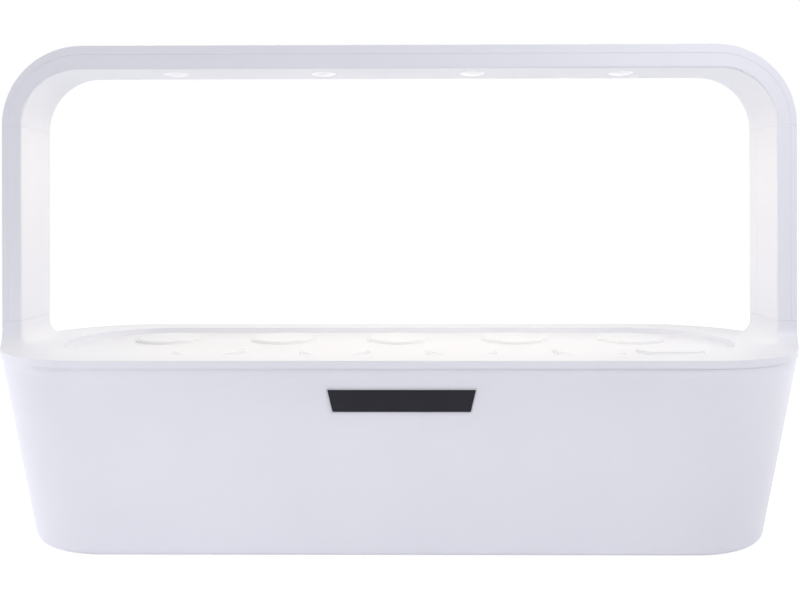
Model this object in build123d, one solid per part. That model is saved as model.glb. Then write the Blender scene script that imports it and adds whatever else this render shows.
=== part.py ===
from build123d import *
import math
import os

# Indoor herb planter: a water tank with a lid that carries nine cups, and a lamp arch on two arms.
# Millimetres. +X runs along the planter, +Y to its back, +Z up. The origin is under the middle.

# Plan of the lid, which the tank and the arch follow
lid_length = 615.0
lid_depth = 185.0
end_flat = 5.0
overrun = 2.0
edge_margin = 0.8

# Basin
rim_height = 138.0
rim_band = 6.0
lid_overhang = 2.0
basin_draft_end = 23.0
basin_draft_side = 21.0
basin_foot_flat = 1.0
basin_wall = 2.4
basin_floor = 3.0
basin_edge = 4.0
floor_edge = 3.0
pad_radius = 11.0
pad_stand = 0.5
pad_sink = 1.4
pad_clearance = 0.2
pad_from_end = 75.0
pad_from_side = 24.0

# Lid
lid_thickness = 6.0
lid_skin = 2.4
skirt_wall = 3.2
shadow_height = 0.6
shadow_depth = 1.4
lip_depth = 5.5
lip_wall = 2.0
lip_clearance = 0.5
recess_depth = 4.5
recess_from_side = 25.5
recess_from_end = 45.0
rib_thickness = 1.6
rib_height = 6.0
rib_from_end = 12.0

# Arch and its joints
arch_depth = 51.5
arm_thickness = 15.2
bar_thickness = 18.0
bend_radius = 61.0
window_radius = 43.0
shell_wall = 2.2
edge_round = 1.5
shut_line = 0.35
stub_height = 18.4
flare_radius = 14.0
arm_length = 149.4
lamp_leg = 1.0
band_side = 4.7
band_top = 6.8
tenon_height = 10.0
tenon_width = 7.0
tenon_wall = 1.4
tenon_clearance = 0.35
web_thickness = 2.4
back_cover_width = 16.0

# Cups with their plugs and covers
cup_guide_gap = 9.6
cup_row_offset = 31.0
back_row_count = 5
front_row_count = 4
cup_flange_radius = 27.0
cup_flange = 1.2
cup_top_radius = 23.8
cup_bottom_radius = 18.0
cup_height = 60.0
cup_wall = 1.4
cup_clearance = 0.3
cup_slot_count = 4
cup_slot_width = 5.0
cup_slot_from_top = 18.0
cup_slot_from_floor = 4.0
plug_clearance = 0.3
plug_gap = 3.0
cover_margin = 2.0
cover_thickness = 0.8
cover_chamfer = 0.3

# Float, its guide and the filling hole
float_from_end = 101.5
float_y = -31.0
fill_length = 46.0
fill_width = 22.0
guide_flange = 2.4
guide_flange_thickness = 1.2
guide_clearance = 0.3
guide_wall = 1.5
guide_collar = 9.0
guide_floor = 1.6
guide_from_basin_floor = 8.0
guide_window_width = 5.0
guide_window_margin = 14.0
guide_drain_radius = 6.0
float_clearance = 0.6
float_length = 72.0
cap_margin = 0.6
cap_thickness = 1.2
cap_chamfer = 0.4
cap_lip = 2.5
cap_lip_wall = 1.2
cap_clearance = 0.3

# Driver in the notch at the back
driver_from_end = 117.5
notch_width = 60.0
notch_depth = 12.6
notch_clearance = 0.4
pocket_wall = 2.2
inlet_wall = 5.8
cover_plate = 1.8
inlet_offset = -13.0
button_offset = 14.0
inlet_height = 10.6
inlet_width = 9.0
inlet_length = 11.6
inlet_mouth_radius = 4.4
inlet_bore_radius = 3.2
inlet_bore_depth = 9.0
inlet_pin_radius = 1.05
inlet_pin_length = 8.2
board_thickness = 1.6
board_stand = 3.0
board_half_length = 19.5
board_clearance = 0.5
button_radius = 4.0
button_clearance = 0.35
button_stand = 0.7
button_flange = 1.0
button_flange_thickness = 1.2
button_stem_radius = 1.8
button_stem = 3.0
button_travel = 0.9
switch_size = 6.0
switch_depth = 3.6
switch_gap = 0.1
pillar_radius = 3.2
pillar_offset = 24.0

# Contacts and leads on the right
contact_depth = 12.0
contact_clearance = 0.1
plug_height = 7.0
plug_drop = 0.4
contact_pin_radius = 0.6
contact_pin_spacing = 6.0
contact_pin_length = 5.0
contact_hole_clearance = 0.3
lead_width = 3.2
lead_thickness = 1.6
lead_clearance = 0.3
lead_from_wall = 4.0
lead_side_share = 0.86
lead_rise = 9.0
lead_low_share = 0.5
lead_turn_share = 0.45

# Light
light_count = 4
light_pitch = 118.0
lens_radius = 9.8
lens_clearance = 0.3
lens_flange = 2.2
lens_flange_thickness = 1.2
lens_dome = 1.6
chip_size = 8.0
chip_height = 1.2
chip_gap = 0.2
light_board_length = 420.0
light_board_depth = 22.0
sink_base = 3.0
sink_depth = 36.0
sink_fin = 1.4
sink_fin_height = 3.6
sink_fin_pitch = 6.0
boss_radius = 3.6
screw_radius = 1.2
screw_clearance = 0.05
screw_hole_radius = 1.7
screw_head_radius = 2.7
screw_head_height = 1.8
screw_bite = 3.2

# Levels and places that follow from the sizes above
end_radius = (lid_depth - end_flat) / 2
floor_top = pad_stand + basin_floor
lid_top = rim_height + lid_thickness
recess_level = lid_top - recess_depth
stub_top = lid_top + stub_height
joint_level = stub_top + arm_length
bend_level = joint_level + lamp_leg
arch_half_depth = arch_depth / 2
arm_outer_x = (lid_length / 2 - end_radius) + math.sqrt(end_radius**2 - (arch_half_depth - end_flat / 2)**2)
arm_inner_x = arm_outer_x - arm_thickness
bend_x = arm_outer_x - bend_radius
arch_top = bend_level + bend_radius
bar_under = arch_top - bar_thickness
seam_x = arm_outer_x - band_side
seam_top = arch_top - band_top
seam_radius = bend_radius - (band_side + band_top) / 2
recess_half_depth = lid_depth / 2 - recess_from_side
recess_half_length = lid_length / 2 - recess_from_end
basin_rim_inset = lid_overhang
basin_inner_inset = basin_rim_inset + basin_wall
driver_x = lid_length / 2 - driver_from_end
float_x = lid_length / 2 - float_from_end
cup_row_end = float_x - fill_length / 2 - guide_flange - cup_guide_gap - cup_flange_radius
cup_pitch = 2 * cup_row_end / (front_row_count - 1)


def plan(inset, z):
    """The lid's outline, drawn in by inset, at height z."""
    outline = RectangleRounded(lid_length - 2 * inset, lid_depth - 2 * inset, end_radius - inset)
    return Pos(0, 0, z) * outline


def prism(inset, low, high):
    """An upright solid on the lid's outline."""
    return extrude(plan(inset, low), amount=high - low)


def block(low, high):
    """A box between two corners."""
    size = [b - a for a, b in zip(low, high)]
    centre = [(a + b) / 2 for a, b in zip(low, high)]
    return Pos(*centre) * Box(*size)


def rod(radius, low, high, x=0, y=0):
    """An upright cylinder."""
    return Pos(x, y, (low + high) / 2) * Cylinder(radius, high - low)


def rod_along_y(radius, low, high, x, z):
    """A cylinder along Y."""
    return Pos(x, (low + high) / 2, z) * Rot(90, 0, 0) * Cylinder(radius, high - low)


def tank_plan(inset, slope_share, z):
    """The tank's outline drawn in by inset, slope_share of the way down its slope."""
    length = lid_length - 2 * (basin_rim_inset + basin_draft_end * slope_share + inset)
    depth = lid_depth - 2 * (basin_rim_inset + basin_draft_side * slope_share + inset)
    flat = end_flat + (basin_foot_flat - end_flat) * slope_share
    return Pos(0, 0, z) * RectangleRounded(length, depth, (depth - flat) / 2)


def tank_form(inset, low):
    """The tank's tapered form under the rim, drawn in by inset, cut off at height low."""
    band_low = rim_height - rim_band
    slope_share = (band_low - low) / (band_low - pad_stand)
    foot = tank_plan(inset, slope_share, low)
    shoulder = tank_plan(inset, 0, band_low)
    return loft([foot, shoulder], ruled=True) + prism(basin_rim_inset + inset, band_low, rim_height)


def arch_section(inset, inner_x):
    """The arm's cross-section seen from above: its outer side follows the lid's rounded end."""
    half = arch_half_depth - inset
    width = lid_length / 2 - inner_x
    band = Pos(inner_x + width / 2, 0) * Rectangle(width, 2 * half)
    return plan(inset, 0) & band


def leg_form(inset, inner_x, low, high):
    """An upright stretch of the right arm."""
    return extrude(Pos(0, 0, low) * arch_section(inset, inner_x), amount=high - low)


def arch_form(inset, low):
    """The lamp's outer form, bent over at both ends, filled in to the axes of the bends."""
    section = arch_section(inset, bend_x)
    leg = leg_form(inset, bend_x, low, bend_level)
    axis = Axis((bend_x, 0, bend_level), (0, -1, 0))
    bend = revolve(Pos(0, 0, bend_level) * section, axis, revolution_arc=90)
    upright = Pos(bend_x, 0, bend_level) * Rot(0, -90, 0) * Pos(-bend_x, 0, 0) * section
    bar = extrude(upright, amount=2 * bend_x, dir=(-1, 0, 0))
    side = leg + bend
    return bar + side + mirror(side, Plane.YZ)


def doorway(half_width, top, radius, low):
    """A doorway shape with two rounded upper corners, run through the arch from front to back."""
    face = Rectangle(2 * half_width, top - low)
    face = fillet(face.vertices().group_by(Axis.Y)[-1], radius)
    face = Plane.XZ * (Pos(0, (top + low) / 2) * face)
    return extrude(face, amount=arch_half_depth + overrun, both=True)


def window_form(grow, low):
    """The space under the lamp, grown by a wall."""
    return doorway(arm_inner_x + grow, bar_under + grow, window_radius + grow, low)


def seam_form(low):
    """All that lies inside the parting line between lamp housing and lamp cover."""
    return doorway(seam_x, seam_top, seam_radius, low)


def tenon(low, high):
    """The hollow tongue on top of a foot or an arm, which the next piece slides over."""
    inner_x = arm_inner_x + shell_wall + tenon_clearance
    half = arch_half_depth - shell_wall - tenon_clearance
    outer = block((inner_x, -half, low), (inner_x + tenon_width, half, high))
    edges = outer.edges().filter_by(Axis.Z)
    outer = fillet(edges, edge_round)
    core_half = half - tenon_wall
    core = block((inner_x + tenon_wall, -core_half, low - overrun),
                 (inner_x + tenon_width - tenon_wall, core_half, high + overrun))
    return outer - core


def right_and_left(solid):
    """A solid with its mirror image on the other side."""
    return solid + mirror(solid, Plane.YZ)


# Middle of the hollow in the tenon, where the contacts stand
contact_x = arm_inner_x + shell_wall + tenon_clearance + tenon_width / 2
contact_width = tenon_width - 2 * tenon_wall - 2 * contact_clearance


def contact_block(low, high):
    """The plastic body of a contact, in the middle of the arm."""
    half_width = contact_width / 2
    half_depth = contact_depth / 2
    return block((contact_x - half_width, -half_depth, low), (contact_x + half_width, half_depth, high))


def contact_pins(radius, low, high):
    """The two pins of a plug, or the holes that take them."""
    half = contact_pin_spacing / 2
    return rod(radius, low, high, contact_x, -half) + rod(radius, low, high, contact_x, half)


def socket(low):
    """A socket that fills the tenon's height."""
    high = low + tenon_height
    hole_radius = contact_pin_radius + contact_hole_clearance
    return contact_block(low, high) - contact_pins(hole_radius, high - contact_pin_length, high + overrun)


def plug(joint):
    """A plug that hangs above the tenon, with its pins down in the socket."""
    low = joint + tenon_height + plug_drop
    pins = contact_pins(contact_pin_radius, low - contact_pin_length + 2 * plug_drop, low + plug_drop)
    return contact_block(low, low + plug_height) + pins


def plug_shelf_level(joint):
    """Where the shelf that holds the plug starts."""
    return joint + tenon_height + plug_drop + plug_height


def lead_hole(low, high):
    """The hole that a flat lead passes through."""
    half_thickness = lead_thickness / 2 + lead_clearance
    half_width = lead_width / 2 + lead_clearance
    return block((contact_x - half_thickness, -half_width, low - overrun),
                 (contact_x + half_thickness, half_width, high + overrun))


def make_basin():
    """The water tank."""
    body = tank_form(0, pad_stand)
    bottom = body.faces().sort_by(Axis.Z)[0]
    body = fillet(bottom.edges(), basin_edge)
    inside = tank_form(basin_wall, floor_top)
    inside_bottom = inside.faces().sort_by(Axis.Z)[0]
    inside = fillet(inside_bottom.edges(), floor_edge)
    basin = body - inside - prism(basin_inner_inset, rim_height - overrun, rim_height + overrun)
    half = notch_width / 2
    basin -= block((driver_x - half, 0, rim_height - notch_depth),
                   (driver_x + half, lid_depth, rim_height + overrun))
    for x, y in pad_places():
        basin -= rod(pad_radius + pad_clearance, pad_stand - overrun, pad_stand + pad_sink, x, y)
    return basin


def pad_places():
    """Centres of the four pads under the basin."""
    x = lid_length / 2 - pad_from_end
    y = lid_depth / 2 - basin_rim_inset - basin_draft_side - pad_from_side
    return [(x, y), (-x, y), (x, -y), (-x, -y)]


def make_pads():
    """Four rubber pads, sunk into the bottom."""
    return Compound([rod(pad_radius, 0, pad_stand + pad_sink, x, y) for x, y in pad_places()])


def recess_plan(grow, z):
    """The outline of the recess in the lid, with round ends, grown by a wall."""
    length = 2 * (recess_half_length + grow)
    depth = 2 * (recess_half_depth + grow)
    return Pos(0, 0, z) * SlotOverall(length, depth)


def cup_places():
    """Centres of the cups: two rows, one shifted by half a pitch."""
    rows = [(back_row_count, cup_row_offset), (front_row_count, -cup_row_offset)]
    return [((i - (count - 1) / 2) * cup_pitch, y) for count, y in rows for i in range(count)]


def fill_plan(grow, z):
    """The outline of the filling hole, grown by a wall."""
    return Pos(float_x, float_y, z) * SlotOverall(fill_length + 2 * grow, fill_width + 2 * grow)


def make_lid():
    """The lid with its recess, its cup holes, the driver's box and the two flared feet."""
    lid = prism(0, rim_height, lid_top)
    foot = leg_form(0, arm_inner_x, rim_height, stub_top)
    inner_edges = foot.edges().filter_by(Axis.Z).group_by(Axis.X)[0]
    foot = fillet(inner_edges, edge_round)
    lid = lid + right_and_left(foot)
    lid = fillet(flare_edges(lid), flare_radius)
    skin_low = lid_top - lid_skin
    lip_low = rim_height - lip_depth
    lip_inset = basin_inner_inset + lip_clearance
    lid -= prism(skirt_wall, rim_height - overrun, skin_low)
    lid += prism(lip_inset, lip_low, skin_low)
    lid -= prism(lip_inset + lip_wall, lip_low - overrun, skin_low)
    lid += extrude(recess_plan(lid_skin, recess_level - lid_skin), amount=recess_depth)
    lid += lid_rib()
    lid -= extrude(recess_plan(0, recess_level), amount=recess_depth + overrun)
    shadow = prism(-overrun, rim_height - overrun, rim_height + shadow_height)
    lid -= shadow - prism(shadow_depth, rim_height - 2 * overrun, rim_height + 2 * overrun)
    lid += driver_box()
    lid -= driver_hollows()
    lid = add_pillars(lid)
    high = recess_level + overrun
    for x, y in cup_places():
        lid -= rod(cup_top_radius + cup_clearance, recess_level - 2 * lid_skin, high, x, y)
    lid -= extrude(fill_plan(0, recess_level - 2 * lid_skin), amount=3 * lid_skin)
    hollow = leg_form(shell_wall, arm_inner_x + shell_wall, rim_height - overrun, stub_top - web_thickness)
    lid -= right_and_left(hollow)
    lid += right_and_left(tenon(stub_top - web_thickness, stub_top + tenon_height))
    lid -= lead_hole(stub_top - web_thickness, stub_top)
    return lid


def lid_rib():
    """The rib under the recess, between the two rows of cups."""
    half_length = recess_half_length - rib_from_end
    half = rib_thickness / 2
    high = recess_level - lid_skin
    return block((-half_length, -half, high - rib_height), (half_length, half, high))


def flare_edges(lid):
    """The edges where the feet rise from the lid's top."""
    edges = []
    for edge in lid.edges():
        centre = edge.center()
        size = edge.bounding_box().size
        level = abs(centre.Z - lid_top) < edge_margin
        inside_x = arm_inner_x - overrun < abs(centre.X) < arm_outer_x - edge_margin
        inside_y = abs(centre.Y) < arch_half_depth + edge_margin
        if level and inside_x and inside_y and size.X + size.Y < 2 * arch_depth:
            edges.append(edge)
    return edges


def driver_box():
    """The outside of the driver's box, which fills the notch in the basin's rim."""
    half = notch_width / 2 - notch_clearance
    low = rim_height - notch_depth + notch_clearance
    outer = block((driver_x - half, pocket_front() - pocket_wall, low),
                  (driver_x + half, lid_depth, lid_top - lid_skin))
    return outer & tank_and_above()


def driver_hollows():
    """The driver's space, the holes for the inlet, the button and the lead."""
    half = notch_width / 2 - notch_clearance
    low = rim_height - notch_depth
    back = driver_back()
    hollows = block((driver_x - half + pocket_wall, pocket_front(), low - overrun),
                    (driver_x + half - pocket_wall, back, lid_top - lid_skin))
    mouths = [(inlet_mouth_radius, inlet_offset), (button_radius + button_clearance, button_offset)]
    for radius, offset in mouths:
        hollows += rod_along_y(radius, back - overrun, lid_depth, driver_x + offset, mouth_z())
    y = back - lead_from_wall
    z = board_low() + board_thickness / 2
    half_thickness = lead_thickness / 2 + lead_clearance
    half_width = lead_width / 2 + lead_clearance
    wall_x = driver_x + half
    return hollows + block((wall_x - pocket_wall - overrun, y - half_thickness, z - half_width),
                           (wall_x + overrun, y + half_thickness, z + half_width))


def add_pillars(lid):
    """The lid with the cover's two pillars and the board's boss, each with its pilot hole."""
    low = rim_height - notch_depth + notch_clearance
    skin_low = lid_top - lid_skin
    pilot = screw_radius + screw_clearance
    for x, y in pillar_places():
        lid += rod(pillar_radius, low, skin_low, x, y)
        lid -= rod(pilot, low - overrun, low + screw_bite + screw_clearance, x, y)
    x, y = board_boss_place()
    lid += rod(pillar_radius, skin_low - board_stand, skin_low, x, y)
    return lid - rod(pilot, skin_low - board_stand - overrun, skin_low, x, y)


def tank_and_above():
    """The tank's form with its rim carried up to the lid's skin."""
    return tank_form(0, pad_stand) + prism(basin_rim_inset, rim_height, lid_top - lid_skin)


def pocket_front():
    """Where the inside of the driver's box starts at the front."""
    return recess_half_depth + lid_skin + pocket_wall


def driver_back():
    """Where the inside of the driver's box ends at the back."""
    return lid_depth / 2 - basin_rim_inset - inlet_wall


def board_low():
    """Underside of the driver board."""
    return lid_top - lid_skin - board_stand - board_thickness


def make_driver_cover():
    """The plate that closes the driver's box from below."""
    half = notch_width / 2 - notch_clearance
    high = rim_height - notch_depth + notch_clearance
    front = pocket_front() - pocket_wall
    plate = block((driver_x - half, front, high - cover_plate), (driver_x + half, driver_back(), high))
    for x, y in pillar_places():
        plate -= rod(screw_hole_radius, high - 2 * cover_plate, high + overrun, x, y)
    return plate


def pillar_places():
    """Centres of the two pillars that take the cover's screws, merged with the box's front wall."""
    y = pocket_front() + pillar_radius / 2
    return [(driver_x - pillar_offset, y), (driver_x + pillar_offset, y)]


def board_boss_place():
    """Centre of the boss that takes the board's screw."""
    return driver_x, (pocket_front() + driver_back()) / 2


def make_driver_board():
    """The driver's circuit board."""
    x, y = board_boss_place()
    low = board_low()
    board = block((driver_x - board_half_length, pocket_front() + board_clearance, low),
                  (driver_x + board_half_length, driver_back() - board_clearance, low + board_thickness))
    return board - rod(screw_hole_radius, low - overrun, low + board_thickness + overrun, x, y)


def screw(x, y, seat, length, turned=1):
    """A pan-head screw with its head on the seat; turned is 1 for a head above it and -1 for one below."""
    head_end = seat + turned * screw_head_height
    tip = seat - turned * length
    head = rod(screw_head_radius, min(seat, head_end), max(seat, head_end), x, y)
    return head + rod(screw_radius, min(seat, tip), max(seat, tip), x, y)


def make_driver_screws():
    """The board's screw and the two screws of the cover."""
    x, y = board_boss_place()
    plate_low = rim_height - notch_depth + notch_clearance - cover_plate
    screws = [screw(x, y, board_low(), board_thickness + board_stand - screw_clearance, turned=-1)]
    screws += [screw(px, py, plate_low, cover_plate + screw_bite, turned=-1) for px, py in pillar_places()]
    return Compound(screws)


def mouth_z():
    """Height of the power inlet and the button."""
    return board_low() - inlet_height / 2


def make_inlet():
    """The power inlet's body with its bore and the pin in the middle of it."""
    x = driver_x + inlet_offset
    z = mouth_z()
    half = inlet_width / 2
    back = driver_back()
    bore_low = back - inlet_bore_depth
    body = block((x - half, back - inlet_length, board_low() - inlet_height), (x + half, back, board_low()))
    body -= rod_along_y(inlet_bore_radius, bore_low, back + overrun, x, z)
    pin_low = bore_low - inlet_pin_radius
    return body + rod_along_y(inlet_pin_radius, pin_low, bore_low + inlet_pin_length, x, z)


def make_button():
    """The timer button, held by a flange inside the box."""
    x = driver_x + button_offset
    back = driver_back()
    outside = lid_depth / 2 - basin_rim_inset + button_stand
    flange_low = back - button_flange_thickness
    button = rod_along_y(button_radius, flange_low, outside, x, mouth_z())
    rim = button.faces().sort_by(Axis.Y)[-1]
    button = chamfer(rim.edges(), button_stand / 2)
    button += rod_along_y(button_radius + button_flange, flange_low, back, x, mouth_z())
    return button + rod_along_y(button_stem_radius, flange_low - button_stem, flange_low, x, mouth_z())


def make_switch():
    """The switch behind the button, clear of the stem when the button is pressed."""
    x = driver_x + button_offset
    half = switch_size / 2
    back = driver_back() - button_flange_thickness - button_stem - button_travel - switch_gap
    return block((x - half, back - switch_depth, board_low() - inlet_height), (x + half, back, board_low()))


def make_lid_lead():
    """The lead from the board round the lid's end and up the right foot."""
    z = board_low() + board_thickness / 2
    y = driver_back() - lead_from_wall
    end_centre = lid_length / 2 - end_radius
    reach = (end_radius - basin_inner_inset - lip_clearance - lip_wall) * lead_side_share
    corner = reach * math.tan(math.radians(45 / 2))
    points = [(driver_x + board_half_length, y, z),
              (end_centre + corner, y, z),
              (contact_x, corner, z),
              (contact_x, 0, z),
              (contact_x, 0, stub_top)]
    return flat_lead(points, (0, 0, 1))


def flat_lead(points, width_direction):
    """A flat lead along straight runs joined by arcs, each as large as its two runs allow."""
    points = [Vector(*point) for point in points]
    runs = [b - a for a, b in zip(points, points[1:])]
    radii = []
    for before, after in zip(runs, runs[1:]):
        half_turn = math.radians(before.get_angle(after)) / 2
        radii.append(lead_turn_share * min(before.length, after.length) / math.tan(half_turn))
    path = FilletPolyline(*points, radius=radii)
    start = Plane(origin=path @ 0, x_dir=width_direction, z_dir=path % 0)
    return sweep(start * Rectangle(lead_width, lead_thickness), path=path)


def make_float_guide():
    """The collar in the filling hole with the float's tube."""
    x = guide_x()
    low = guide_low()
    outer_radius = fill_width / 2 - guide_clearance
    bore = outer_radius - guide_wall
    collar_low = recess_level - guide_collar
    collar = extrude(fill_plan(guide_flange, recess_level), amount=guide_flange_thickness)
    collar += extrude(fill_plan(-guide_clearance, collar_low), amount=guide_collar)
    hollow_plan = fill_plan(-guide_clearance - guide_wall, collar_low - overrun)
    collar -= extrude(hollow_plan, amount=2 * guide_collar)
    tube = rod(outer_radius, low, cap_lip_low() - cap_clearance, x, float_y)
    tube -= rod(bore, low + guide_floor, lid_top, x, float_y)
    tube -= rod(guide_drain_radius, low - overrun, low + 2 * guide_floor, x, float_y)
    half = guide_window_width / 2
    for side in (-1, 1):
        y = float_y + side * outer_radius
        tube -= block((x - half, y - 2 * guide_wall, low + guide_window_margin),
                      (x + half, y + 2 * guide_wall, collar_low - guide_window_margin))
    return collar + tube


def guide_x():
    """Middle of the float's tube, at one end of the filling hole."""
    return float_x + (fill_length - fill_width) / 2


def guide_low():
    """Bottom of the float's tube."""
    return floor_top + guide_from_basin_floor


def cap_lip_low():
    """Bottom of the lip of the filling hole's cap."""
    return recess_level + guide_flange_thickness - cap_lip


def make_fill_cap():
    """The cap of the filling hole, with a lip that goes into the collar."""
    low = recess_level + guide_flange_thickness
    cap = extrude(fill_plan(guide_flange - cap_margin, low), amount=cap_thickness)
    cap = chamfer(cap.faces().sort_by(Axis.Z)[-1].edges(), cap_chamfer)
    grow = -guide_clearance - guide_wall - cap_clearance
    lip = extrude(fill_plan(grow, cap_lip_low()), amount=cap_lip)
    return cap + (lip - extrude(fill_plan(grow - cap_lip_wall, cap_lip_low()), amount=cap_lip))


def make_float():
    """The water float, resting at the bottom of its tube."""
    radius = fill_width / 2 - guide_clearance - guide_wall - float_clearance
    low = guide_low() + guide_floor
    body = rod(radius, low, low + float_length, guide_x(), float_y)
    return chamfer(body.edges().filter_by(GeomType.CIRCLE), radius / 2)


def cone(bottom_radius, top_radius, low, high, x, y):
    """An upright cone."""
    return Pos(x, y, (low + high) / 2) * Cone(bottom_radius, top_radius, high - low)


def make_cup(x, y):
    """A cup with a flange that rests on the lid, and slots for the water."""
    low = recess_level - cup_height
    rim = recess_level + cup_flange
    cup = cone(cup_bottom_radius, cup_top_radius, low, recess_level, x, y)
    cup += rod(cup_flange_radius, recess_level, rim, x, y)
    inner_bottom = cup_bottom_radius - cup_wall
    inner_top = cup_top_radius - cup_wall
    cup -= cone(inner_bottom, inner_top, low + cup_wall, rim + cup_wall, x, y)
    slot_low = low + cup_wall + cup_slot_from_floor
    slot_high = recess_level - cup_slot_from_top
    for i in range(cup_slot_count // 2):
        slot = Box(2 * cup_top_radius, cup_slot_width, slot_high - slot_low)
        cup -= Pos(x, y, (slot_low + slot_high) / 2) * Rot(0, 0, i * 360 / cup_slot_count) * slot
    return cup


def make_plug(x, y):
    """The growing plug that fills a cup."""
    low = recess_level - cup_height + cup_wall
    rim = recess_level + cup_flange
    high = rim - plug_gap
    bottom = cup_bottom_radius - cup_wall - plug_clearance
    slope_share = (high - low) / (rim + cup_wall - low)
    top = bottom + (cup_top_radius - cup_bottom_radius) * slope_share
    return cone(bottom, top, low, high, x, y)


def make_cover(x, y):
    """The blank disc that closes a cup until its plant comes up."""
    low = recess_level + cup_flange
    disc = rod(cup_flange_radius - cover_margin, low, low + cover_thickness, x, y)
    return chamfer(disc.faces().sort_by(Axis.Z)[-1].edges(), cover_chamfer)


def arm_shell():
    """The right arm's hollow stretch."""
    outer = leg_form(0, arm_inner_x, stub_top, joint_level)
    outer = fillet(outer.edges().filter_by(Axis.Z).group_by(Axis.X)[0], edge_round)
    ends = outer.faces().filter_by(GeomType.PLANE).sort_by(Axis.Z)
    outer = chamfer(ends[0].edges() + ends[-1].edges(), shut_line)
    return outer - leg_form(shell_wall, arm_inner_x + shell_wall, stub_top - overrun, joint_level + overrun)


def outside_seam(low, high):
    """The space outside the arm's parting line."""
    return block((seam_x, -arch_depth, low), (lid_length, arch_depth, high))


def arm_web(low, high):
    """A plate across the inside of the arm, up to the parting line."""
    web = leg_form(shell_wall, arm_inner_x + shell_wall, low, high)
    return web - outside_seam(low - overrun, high + overrun)


def make_arm(shell):
    """The inner channel of an arm, with the tenon on top."""
    low = joint_level - web_thickness
    channel = shell - outside_seam(stub_top - overrun, joint_level + overrun)
    return channel + arm_web(low, joint_level) + tenon(low, joint_level + tenon_height)


def make_strip(shell):
    """The outer strip of an arm, with a fine groove along its parting line."""
    strip = shell & outside_seam(stub_top - overrun, joint_level + overrun)
    return chamfer(face_edges_within(strip, seam_x, joint_level), shut_line)


def split_y():
    """Where the right arm's back cover starts."""
    return arch_half_depth - back_cover_width


def behind_split():
    """The space of the right arm's back cover."""
    return block((0, split_y(), stub_top - overrun), (seam_x, arch_depth, joint_level + overrun))


def make_back_cover(shell):
    """The right arm's back cover, with a fine groove where it meets the arm's inner face."""
    cover = shell & behind_split()
    corner = cover.edges().filter_by(Axis.Z).sort_by_distance((arm_inner_x, split_y(), joint_level))[0]
    return chamfer(corner, shut_line)


def make_right_arm():
    """The right arm without its back cover, with the plug's shelf and the holes for the lead."""
    low = joint_level - web_thickness
    shelf = plug_shelf_level(stub_top)
    arm = make_arm(arm_shell() - behind_split())
    arm += arm_web(shelf, shelf + web_thickness)
    return arm - lead_hole(low, joint_level) - lead_hole(shelf, shelf + web_thickness)


def make_arm_lead():
    """The lead inside the right arm, from the plug up to the socket."""
    half_thickness = lead_thickness / 2
    half_width = lead_width / 2
    return block((contact_x - half_thickness, -half_width, plug_shelf_level(stub_top)),
                 (contact_x + half_thickness, half_width, joint_level))


def lamp_shell():
    """The hollow lamp before it is parted into housing and cover."""
    outer = arch_form(0, joint_level) - window_form(0, joint_level - overrun)
    outer = fillet(face_edges_within(outer, arm_inner_x, bar_under), edge_round)
    feet = outer.faces().group_by(Axis.Z)[0]
    outer = chamfer(feet.edges(), shut_line)
    void = arch_form(shell_wall, joint_level - overrun) - window_form(shell_wall, joint_level - 2 * overrun)
    return outer - void, void


def face_edges_within(solid, half_width, top):
    """The edges on the arch's front and back faces that lie along or inside a doorway shape."""
    edges = []
    for edge in solid.edges():
        box = edge.bounding_box()
        below = box.max.Z < top + edge_margin
        between = max(abs(box.min.X), abs(box.max.X)) < half_width + edge_margin
        if below and between and abs(edge.center().Y) > arch_half_depth - edge_margin:
            edges.append(edge)
    return edges


def plate_top():
    """Upper face of the plate that holds the lenses."""
    return bar_under + shell_wall


def light_places():
    """X of each light."""
    return [(i - (light_count - 1) / 2) * light_pitch for i in range(light_count)]


def lamp_screw_places():
    """X of each lamp screw, midway between two lights."""
    lights = light_places()
    return [(a + b) / 2 for a, b in zip(lights, lights[1:])]


def chip_low():
    """Underside of the light chips."""
    return plate_top() + lens_flange_thickness + chip_gap


def light_board_low():
    """Underside of the light board."""
    return chip_low() + chip_height


def sink_top():
    """Upper face of the heat sink's base."""
    return light_board_low() + board_thickness + sink_base


def make_lamp_cover(shell):
    """The outer U of the lamp, with a fine groove along the parting line."""
    cover = shell - seam_form(joint_level - overrun)
    return chamfer(face_edges_within(cover, seam_x, seam_top), shut_line)


def make_lamp_housing(shell, void):
    """The inner U of the lamp, with bosses for the board and the shelf for the plug."""
    inside = seam_form(joint_level - overrun)
    housing = shell & inside
    shelf = plug_shelf_level(joint_level)
    shelf_space = block((0, -arch_depth, shelf), (lid_length, arch_depth, shelf + web_thickness))
    housing += void & inside & shelf_space
    housing -= lead_hole(shelf, shelf + web_thickness)
    for x in light_places():
        housing -= rod(lens_radius + lens_clearance, bar_under - overrun, plate_top() + overrun, x)
    boss_top = light_board_low()
    pilot = screw_radius + screw_clearance
    for x in lamp_screw_places():
        housing += rod(boss_radius, plate_top() - shell_wall / 2, boss_top, x)
        housing -= rod(pilot, boss_top - screw_bite - screw_clearance, boss_top + overrun, x)
    return housing


def make_lens(x):
    """A lens with a flange inside the housing and a shallow dome below it."""
    dome_radius = (lens_radius**2 + lens_dome**2) / (2 * lens_dome)
    dome = Pos(x, 0, bar_under - lens_dome + dome_radius) * Sphere(dome_radius)
    dome = dome & rod(lens_radius, bar_under - 2 * lens_dome, bar_under, x)
    lens = rod(lens_radius, bar_under, plate_top(), x) + dome
    return lens + rod(lens_radius + lens_flange, plate_top(), plate_top() + lens_flange_thickness, x)


def make_chips():
    """The light chips under the board, one over each lens."""
    half = chip_size / 2
    low = chip_low()
    high = low + chip_height
    return Compound([block((x - half, -half, low), (x + half, half, high)) for x in light_places()])


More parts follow.
